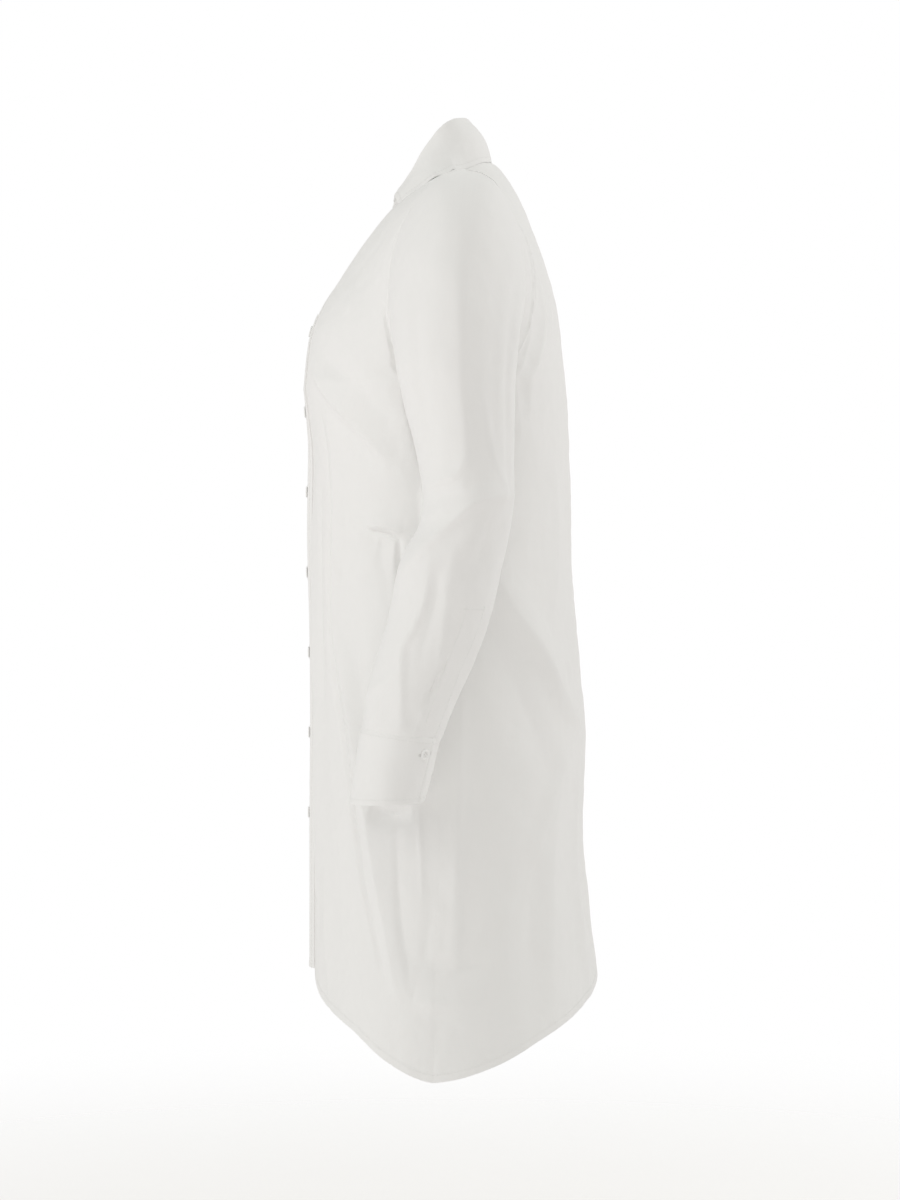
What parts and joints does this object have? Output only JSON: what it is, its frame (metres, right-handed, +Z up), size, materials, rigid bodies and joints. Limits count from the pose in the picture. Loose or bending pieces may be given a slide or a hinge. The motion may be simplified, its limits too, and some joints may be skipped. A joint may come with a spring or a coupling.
{
  "type": "shirt dress",
  "caption": "Long-sleeved shirt dress in crisp cotton, filled out as worn, with a turned-down collar, buttoned front, cuffs and a curved hem.",
  "frame": {"origin": "on the axis of the neck, level with the high points of the shoulders, where the wearer holds the dress", "axes": "+Z up, the garment faces -Y, the wearer's left is +X"},
  "size_m": [0.5928, 0.2918, 0.9124],
  "materials": {
    "cotton": "matt plain-weave cotton, crisp",
    "button": "pearly white"
  },
  "bodies": {
    "root": {"back": "cotton", "front_left": "cotton", "front_right": "cotton", "button_band": "cotton", "collar_stand": "cotton", "collar_leaf": "cotton", "sleeve_left": "cotton", "sleeve_right": "cotton", "sleeve_placket_left": "cotton", "sleeve_placket_right": "cotton", "cuff_left": "cotton", "cuff_right": "cotton", "cuff_button_left": "button", "cuff_button_right": "button", "button_1": "button", "button_2": "button", "button_3": "button", "button_4": "button", "button_5": "button", "button_6": "button", "button_7": "button"}
  },
  "joints": []
}
